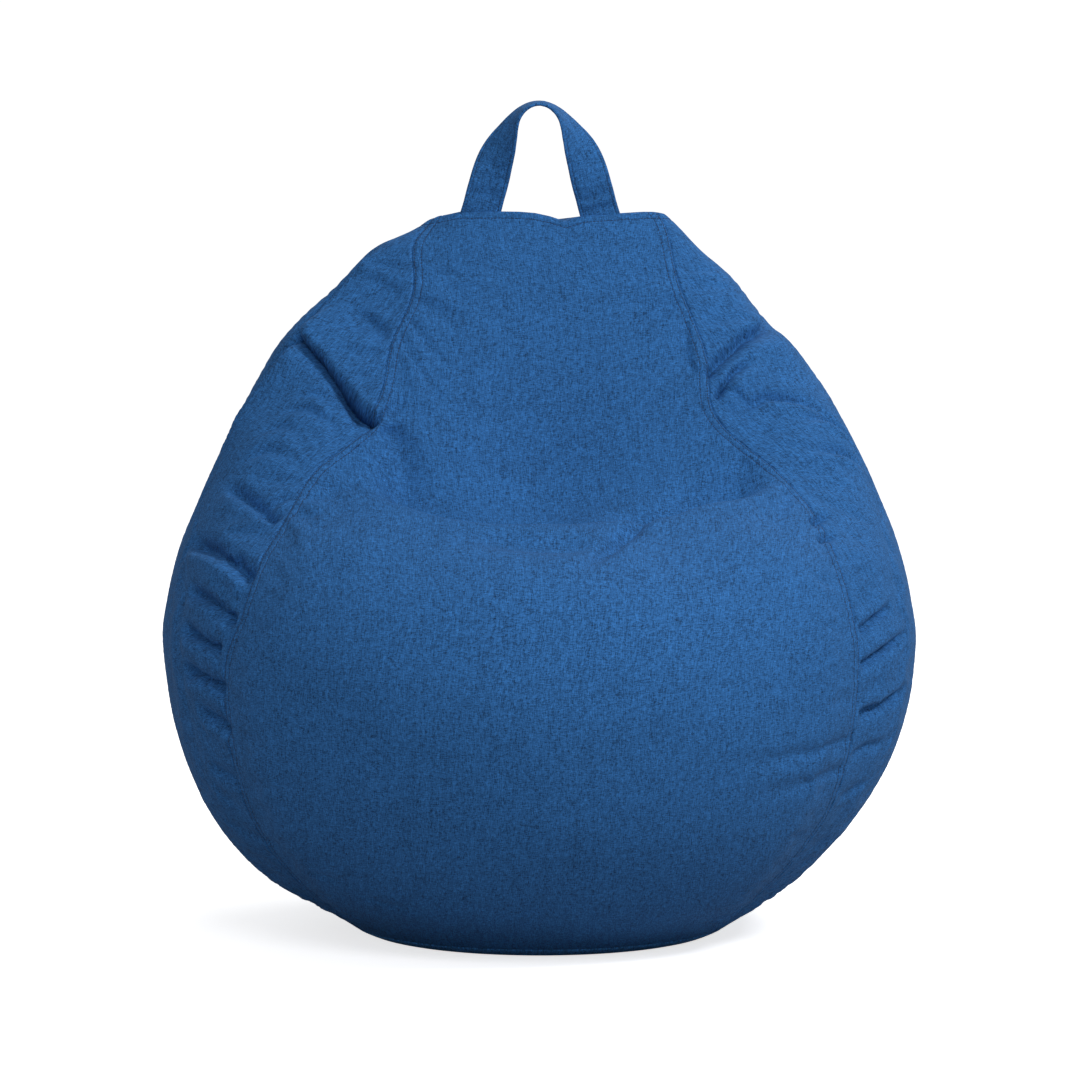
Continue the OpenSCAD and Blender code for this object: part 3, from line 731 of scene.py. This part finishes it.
def strap_mesh():
    a = np.concatenate([np.linspace(-0.16, 0, 10, endpoint=False), np.linspace(0, np.pi, 230),
                        np.linspace(np.pi, np.pi + 0.16, 11)[1:]])
    mid = strap_middle(a)
    mid[a < 0] = strap_middle(np.zeros(1)) + (a[a < 0, None] * [33.0, 0, 110.0])
    mid[a > np.pi] = strap_middle(np.array([np.pi])) + (
        (np.pi - a[a > np.pi, None]) * [-33.0, 0, 110.0])
    for _ in range(12):
        mid[1:-1] = (mid[:-2] + 2 * mid[1:-1] + mid[2:]) / 4
    mid[:, 1] += 6.5 * np.exp(-((mid[:, 2] - 750) / 38) ** 2)
    way = unit(np.gradient(mid, axis=0))
    turn = np.radians(90) * np.interp(np.maximum(np.sin(a), 0), TURN_AT, TURN)[:, None]
    inward = np.stack([way[:, 2], 0 * a, -way[:, 0]], -1)
    across = np.cos(turn) * inward - np.sin(turn) * np.array([0, 1.0, 0])
    face = np.cross(way, across)
    run = np.concatenate([[0], np.cumsum(np.linalg.norm(np.diff(mid, axis=0), axis=1))])
    half = STRAP_W / 2 - 1.2
    w = np.array([-half, -half + 0.8, -half + 2.2, -half + 2.9, -half + 3.6, -half + 5,
                  *np.linspace(-half + 7, half - 7, 12),
                  half - 5, half - 3.6, half - 2.9, half - 2.2, half - 0.8, half])
    thick = STRAP_T / 2 * (1 - 0.5 * np.exp(-((np.abs(w) - half + 2.9) / 0.6) ** 2)
                           - 0.25 * np.exp(-((np.abs(w) - half) / 0.9) ** 2))
    edge = np.array([[half + 0.8, 0.9], [half + 1.2, 0.0], [half + 0.8, -0.9]])
    ring = np.concatenate([np.c_[w, thick], edge, np.c_[w[::-1], -thick[::-1]],
                           np.c_[-edge[:, 0], -edge[:, 1]]])
    low = np.exp(-np.minimum(run, run[-1] - run) / 40)
    lump = ((0.35 + 0.9 * low) * noise1(run / 7.0, 71) + 0.2 * noise1(run / 4.0, 72))[:, None]
    bend = 1.3 * noise1(run / 55.0, 73)[:, None]
    q = (mid[:, None] + across[:, None] * ring[None, :, :1]
         + face[:, None] * (ring[None, :, 1:] + np.sign(ring[None, :, 1:]) * (
             lump[..., None] * (np.abs(ring[None, :, :1]) < half - 3)) + bend[..., None]
             * smooth(0, 60, np.minimum(run, run[-1] - run))[:, None, None]))
    k = len(ring)
    pts = q.reshape(-1, 3)
    faces = quads(len(a), k, ring=True)
    faces += [list(range(k))[::-1], [len(pts) - k + i for i in range(k)]]
    obj = make("handle", pts, faces)
    grain = np.stack([np.repeat(ring[None, :, 0], len(a), 0) + 4000,
                      np.repeat(run[:, None], k, 1), np.repeat(ring[None, :, 1], len(a), 0)], -1)
    attribute(obj, "grain", grain)
    return obj, q, face


handle, strap_q, strap_face = strap_mesh()


# ---- Stitches --------------------------------------------------------------------------------

def stitches(name, paths, pitch=3.7, length=2.9, r=0.5):
    """Short thread stitches laid along lines of (points, outward ways)."""
    centres, ways, outs = [], [], []
    for pts, out in paths:
        d = np.concatenate([[0], np.cumsum(np.linalg.norm(np.diff(pts, axis=0), axis=1))])
        marks = np.arange(pitch, d[-1] - pitch, pitch)
        at = np.stack([np.interp(marks, d, pts[:, i]) for i in range(3)], -1)
        up = unit(np.stack([np.interp(marks, d, out[:, i]) for i in range(3)], -1))
        after = np.stack([np.interp(marks + 0.6, d, pts[:, i]) for i in range(3)], -1)
        centres.append(at)
        ways.append(unit(after - at))
        outs.append(up)
    c, w, n = np.concatenate(centres), np.concatenate(ways), np.concatenate(outs)
    s = unit(np.cross(w, n))
    rings = [(-0.5, 0.35, -0.35), (-0.36, 0.9, 0.0), (0, 1.0, 0.12), (0.36, 0.9, 0.0),
             (0.5, 0.35, -0.35)]
    corners = np.radians(np.arange(6) * 60)
    pts = []
    for along_it, fat, lift in rings:
        for a in corners:
            pts.append(c + w * along_it * length + s * (math.cos(a) * r * fat)
                       + n * (math.sin(a) * r * fat + lift * r + 0.25))
    pts = np.stack(pts, 1)
    faces = np.array(quads(5, 6, ring=True))
    every = (faces[None] + (np.arange(len(c)) * 30)[:, None, None]).reshape(-1, 4).tolist()
    return make(name, pts.reshape(-1, 3), every)


def line_on(panel, edge, d):
    """A line d mm from the left, right, top or bottom edge of a panel, and its outward ways."""
    out, n, S, W, T, top = GRIDS[panel]
    if edge in ("left", "right"):
        at = np.full(len(S), float(d)) if edge == "left" else W[:, 0] - d
        pts = [[np.interp(at[i], S[i], out[i, :, k]) for k in range(3)] for i in range(len(S))]
        ways = [[np.interp(at[i], S[i], n[i, :, k]) for k in range(3)] for i in range(len(S))]
        keep = W[:, 0] > 2.2 * d
        return np.array(pts)[keep], np.array(ways)[keep]
    row = T[:, 0]
    at = top - d if edge == "top" else d
    pts = np.stack([[np.interp(at, row, out[:, j, k]) for k in range(3)]
                    for j in range(out.shape[1])])
    ways = np.stack([[np.interp(at, row, n[:, j, k]) for k in range(3)]
                     for j in range(out.shape[1])])
    return pts, ways


SEAM_STITCHES = [line_on("cover_front", side, d) for side in ("left", "right") for d in (2.4, 10)]
BACK_STITCHES = ([line_on("cover_back_right", "left", d) for d in (2.4, 10)]
                 + [line_on("cover_back_left", "right", d) for d in (2.4, 10)])
TOP_STITCHES = [line_on(p, "top", 10) for p in PANELS]
ZIP_STITCHES = [line_on("cover_back_right", "right", 7.5), line_on("cover_back_left", "left", 7.5)]
threads = [stitches("stitches_front", SEAM_STITCHES), stitches("stitches_back", BACK_STITCHES),
           stitches("stitches_top", TOP_STITCHES), stitches("stitches_zip", ZIP_STITCHES)]
strap_lines = []
# the strap's two faces, with the columns of their hem stitches
for sign, side, columns in ((1, strap_q[:, :24], (20, 3)), (-1, strap_q[:, 27:51], (3, 20))):
    for column in columns:
        strap_lines.append((side[:, column], sign * strap_face))
strap_threads = stitches("stitches_handle", strap_lines, r=0.36)


# ---- Zip coils -------------------------------------------------------------------------------

def coil(name, side):
    """A spiral of nylon along the edge of the tape, its loops reaching just past the middle."""
    low, high = np.radians(-37.1), np.radians(40.1)
    pitch = 1.6 / 328.2
    per_turn = 10
    turns = int((high - low) / pitch)
    t = np.arange(turns * per_turn + 1) / per_turn
    a = low + pitch * (t + (0.5 if side > 0 else 0))
    spin = 2 * np.pi * t
    x = side * (1.35 + 1.6 * np.cos(spin))
    r = 328.2 + 0.92 * np.sin(spin)
    y, z = ARC[0] + r * np.cos(a), ARC[1] + r * np.sin(a)
    mid = np.stack([x, y, z], -1)
    way = unit(np.gradient(mid, axis=0))
    ref = np.stack([0 * a, -np.sin(a), np.cos(a)], -1)
    s1 = unit(np.cross(way, ref))
    s2 = np.cross(way, s1)
    corners = np.radians(np.arange(6) * 60)
    q = mid[:, None] + 0.33 * (np.cos(corners)[None, :, None] * s1[:, None]
                               + np.sin(corners)[None, :, None] * s2[:, None])
    return make(name, q.reshape(-1, 3), quads(len(mid), 6, ring=True))


coils = [coil("coil_right", 1), coil("coil_left", -1)]


# ---- Materials -------------------------------------------------------------------------------

class Nodes:
    """A short way to write a node tree."""

    def __init__(self, name):
        self.mat = bpy.data.materials.new(name)
        self.mat.use_nodes = True
        self.tree = self.mat.node_tree
        self.shader = self.tree.nodes["Principled BSDF"]

    def add(self, kind, **sockets):
        node = self.tree.nodes.new(kind)
        for key, value in sockets.items():
            if key.islower() and hasattr(node, key):
                setattr(node, key, value)
            else:
                self.put(node.inputs[key.replace("_", " ")], value)
        return node

    def put(self, socket, value):
        if isinstance(value, bpy.types.NodeSocket):
            self.tree.links.new(value, socket)
        else:
            socket.default_value = value

    def math(self, operation, a, b=0.0, clamp=False):
        node = self.tree.nodes.new("ShaderNodeMath")
        node.operation = operation
        node.use_clamp = clamp
        self.put(node.inputs[0], a)
        self.put(node.inputs[1], b)
        return node.outputs[0]

    def scaled(self, vector, scale):
        node = self.tree.nodes.new("ShaderNodeVectorMath")
        node.operation = "MULTIPLY"
        self.put(node.inputs[0], vector)
        node.inputs[1].default_value = scale
        return node.outputs[0]

    def noise(self, vector, scale, detail=2.0, rough=0.5):
        """Noise whose lumps are about 1 / scale mm along each axis."""
        node = self.add("ShaderNodeTexNoise", Vector=self.scaled(vector, scale), Scale=1.0,
                        Detail=detail, Roughness=rough)
        return node.outputs["Fac"]

    def threads(self, vector, across, along_it, pitch, run, seed):
        """A random shade from 0 to 1 for each length of thread: the threads are pitch mm apart
        and keep a shade for run mm."""
        axes = self.add("ShaderNodeSeparateXYZ", Vector=vector).outputs
        thread = self.math("FLOOR", self.math("DIVIDE", axes[across], pitch))
        shift = self.add("ShaderNodeTexWhiteNoise", noise_dimensions="1D",
                         W=self.math("ADD", thread, seed)).outputs["Value"]
        part = self.math("FLOOR", self.math("ADD", self.math("DIVIDE", axes[along_it], run),
                                            self.math("MULTIPLY", shift, 9.0)))
        cell = self.add("ShaderNodeCombineXYZ", X=thread, Y=part, Z=seed).outputs[0]
        return self.add("ShaderNodeTexWhiteNoise", noise_dimensions="3D",
                        Vector=cell).outputs["Value"]

    def remap(self, value, a, b, c, d):
        node = self.add("ShaderNodeMapRange", Value=value)
        for key, x in (("From Min", a), ("From Max", b), ("To Min", c), ("To Max", d)):
            node.inputs[key].default_value = x
        return node.outputs["Result"]

    def attribute(self, name):
        node = self.tree.nodes.new("ShaderNodeAttribute")
        node.attribute_name = name
        return node.outputs["Vector"]

    def place(self):
        """The object's own coordinates, in mm."""
        return self.scaled(self.tree.nodes.new("ShaderNodeTexCoord").outputs["Object"],
                           (1000.0,) * 3)

    def finish(self, rough, metal=0.0, sheen=0.0, sheen_rough=0.5, tint=(1, 1, 1)):
        b = self.shader.inputs
        b["Roughness"].default_value = rough
        b["Metallic"].default_value = metal
        b["Sheen Weight"].default_value = sheen
        b["Sheen Roughness"].default_value = sheen_rough
        b["Sheen Tint"].default_value = (*tint, 1)
        return self.mat


def tinted(m, colour, factor):
    """A colour multiplied by a factor for each point."""
    node = m.tree.nodes.new("ShaderNodeVectorMath")
    node.operation = "SCALE"
    node.inputs[0].default_value = colour
    m.put(node.inputs["Scale"], factor)
    return node.outputs[0]


def melange(name, colour):
    """Slubby woven cloth: each thread changes shade every few millimetres, both ways."""
    m = Nodes(name)
    g = m.attribute("grain")
    warp = m.threads(g, 0, 1, 0.6, 4.0, 3.0)
    weft = m.threads(g, 1, 0, 0.6, 3.2, 8.0)
    fine = m.threads(g, 0, 1, 0.7, 0.7, 5.0)
    slub = m.threads(g, 0, 1, 1.5, 30.0, 6.0)
    cloud = m.noise(g, (0.035, 0.035, 0.03), 2.0)
    f = m.math("ADD", m.remap(warp, 0, 1, 0.68, 1.32), m.remap(weft, 0, 1, -0.33, 0.33))
    f = m.math("ADD", f, m.remap(fine, 0, 1, -0.25, 0.25))
    f = m.math("ADD", f, m.remap(slub, 0, 1, -0.07, 0.07))
    f = m.math("ADD", f, m.remap(cloud, 0.3, 0.7, -0.04, 0.04))
    f = m.math("MAXIMUM", f, 0.1)
    m.put(m.shader.inputs["Base Color"], tinted(m, colour, f))
    height = m.noise(g, (0.5, 0.9, 0.1), 0.0)
    bump = m.add("ShaderNodeBump", Strength=0.3, Distance=0.0006, Height=height)
    m.put(m.shader.inputs["Normal"], bump.outputs["Normal"])
    m.shader.inputs["Specular IOR Level"].default_value = 0.2
    return m.finish(0.88, sheen=0.05, sheen_rough=0.45, tint=(0.25, 0.6, 1.0))


def plain(name, colour, rough, scale=0.3, spread=0.08, metal=0.0, bump_mm=0.0):
    """A plain finish with a little unevenness in its colour."""
    m = Nodes(name)
    n = m.noise(m.place(), (scale,) * 3, 3.0)
    m.put(m.shader.inputs["Base Color"],
          tinted(m, colour, m.remap(n, 0.3, 0.7, 1 - spread, 1 + spread)))
    if bump_mm:
        bump = m.add("ShaderNodeBump", Strength=0.6, Distance=bump_mm / 1000, Height=n)
        m.put(m.shader.inputs["Normal"], bump.outputs["Normal"])
    return m.finish(rough, metal)


def woven(name, colour, pitch):
    """Plain tape or sheeting with a fine even weave."""
    m = Nodes(name)
    p = m.place()
    fine = m.noise(p, (1 / pitch, 1 / pitch, 1 / pitch), 2.0, 0.6)
    broad = m.noise(p, (0.03,) * 3, 2.0)
    f = m.math("ADD", m.remap(fine, 0.3, 0.7, 0.88, 1.1), m.remap(broad, 0.3, 0.7, -0.05, 0.05))
    m.put(m.shader.inputs["Base Color"], tinted(m, colour, f))
    bump = m.add("ShaderNodeBump", Strength=0.4, Distance=0.0004, Height=fine)
    m.put(m.shader.inputs["Normal"], bump.outputs["Normal"])
    return m.finish(0.9, sheen=0.1)


CLOTH_BLUE = (0.0225, 0.114, 0.318)
cloth = melange("melange_cloth", CLOTH_BLUE)
# the base panel's cloth is painted lighter than the cover's: painted light standing in for floor
# bounce on the shaded strip where the bag meets the floor
base_cloth = melange("base_cloth", (0.045, 0.20, 0.50))
thread = plain("thread", (0.008, 0.036, 0.105), 0.7, 0.8, 0.15)
tape_cloth = woven("tape_cloth", (0.022, 0.085, 0.22), 0.5)
coil_nylon = plain("coil_nylon", (0.02, 0.07, 0.18), 0.35, 0.5, 0.06)
zip_metal = plain("zip_metal", (0.55, 0.56, 0.58), 0.32, 0.4, 0.06, metal=1.0, bump_mm=0.05)
liner_cloth = woven("liner_cloth", (0.80, 0.80, 0.78), 0.6)
liner_nylon = plain("liner_nylon", (0.78, 0.78, 0.76), 0.4, 0.5, 0.05)
bead_foam = plain("bead_foam", (0.88, 0.88, 0.87), 0.75, 0.25, 0.12, bump_mm=1.2)


def dress(obj, material, body, replaces=()):
    obj.data.materials.clear()
    obj.data.materials.append(material)
    if body:
        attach(obj, body)
    if replaces:
        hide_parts(*replaces)


for name, obj in cover.items():
    dress(obj, cloth, "bag", (name + "_panel",))
dress(cover_top, cloth, "bag", ("cover_top_panel",))
dress(cover_base, base_cloth, "bag", ("cover_base_panel",))
dress(liner, liner_cloth, "bag", ("liner_body", "liner_base", "liner_top"))
dress(beads, bead_foam, "bag", ("bead_fill",))
for obj in threads:
    dress(obj, thread, "bag")
for obj, node in zip(coils, ("zip_coil_right", "zip_coil_left")):
    dress(obj, coil_nylon, "bag", (node,))

handle.data.materials.append(cloth)
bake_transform(handle)
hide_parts("handle_strap")
strap_threads.data.materials.append(thread)
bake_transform(strap_threads)

for node, material in (
        ("zip_tape_left", tape_cloth), ("zip_tape_right", tape_cloth), ("zip_top_stops", zip_metal),
        ("zip_bottom_stop", zip_metal), ("zip_end_tabs", tape_cloth), ("zip_slider", zip_metal),
        ("zip_pull", zip_metal), ("liner_zip_tapes", liner_cloth), ("liner_zip_coils", liner_nylon),
        ("liner_zip_stops", zip_metal), ("liner_zip_slider", zip_metal)):
    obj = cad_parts[node]
    for i in range(len(obj.material_slots)):
        obj.material_slots[i].link = "OBJECT"
        obj.material_slots[i].material = material


# ---- Studio ----------------------------------------------------------------------------------

def studio():
    scene = bpy.context.scene
    scene.view_settings.view_transform = "Standard"
    world = bpy.data.worlds.new("studio")
    scene.world = world
    world.use_nodes = True
    t = world.node_tree
    path = t.nodes.new("ShaderNodeLightPath")
    mix = t.nodes.new("ShaderNodeMix")
    mix.data_type = "FLOAT"
    mix.inputs["A"].default_value = 0.345
    mix.inputs["B"].default_value = 1.0
    t.links.new(path.outputs["Is Camera Ray"], mix.inputs["Factor"])
    t.links.new(mix.outputs["Result"], t.nodes["Background"].inputs["Strength"])
    t.nodes["Background"].inputs["Color"].default_value = (1, 1, 1, 1)

    bpy.ops.mesh.primitive_plane_add(size=90)
    floor = bpy.context.object
    floor.name = "floor"
    m = Nodes("floor")
    m.shader.inputs["Roughness"].default_value = 1.0
    m.shader.inputs["Specular IOR Level"].default_value = 0.0
    seen = m.tree.nodes.new("ShaderNodeLightPath").outputs["Is Camera Ray"]
    tone = m.remap(seen, 0, 1, 0.50, 0.92)
    m.put(m.shader.inputs["Base Color"], tinted(m, (1, 1, 1), tone))
    m.shader.inputs["Emission Color"].default_value = (1, 1, 1, 1)
    m.put(m.shader.inputs["Emission Strength"], m.remap(seen, 0, 1, 0.0, 0.72))
    floor.data.materials.append(m.mat)

    def area(name, place, target, size, power):
        light = bpy.data.lights.new(name, "AREA")
        light.shape = "DISK"
        light.size = size
        light.energy = power
        obj = bpy.data.objects.new(name, light)
        obj.location = place
        way = Vector(target) - Vector(place)
        obj.rotation_euler = way.to_track_quat("-Z", "Y").to_euler()
        scene.collection.objects.link(obj)

    area("key", (2.9, -2.0, 3.5), (0, 0, 0.4), 1.2, 102)
    area("back", (1.0, 2.2, 3.0), (0, 0, 0.5), 2.0, 30)
    area("front", (0.3, -3.6, 2.8), (0, 0, 0.4), 1.6, 38)
    area("left", (-2.2, -2.4, 2.9), (0, 0, 0.4), 2.0, 5)

    camera = bpy.data.cameras.new("camera")
    camera.sensor_width = 36
    camera.lens = 282
    camera.clip_end = 200
    obj = bpy.data.objects.new("camera", camera)
    tilt = math.radians(6.3)
    target = Vector((0, 0, 0.419))
    obj.location = target + 9.0 * Vector((0, -math.cos(tilt), math.sin(tilt)))
    obj.rotation_euler = (target - obj.location).to_track_quat("-Z", "Y").to_euler()
    scene.collection.objects.link(obj)
    scene.camera = obj


studio()
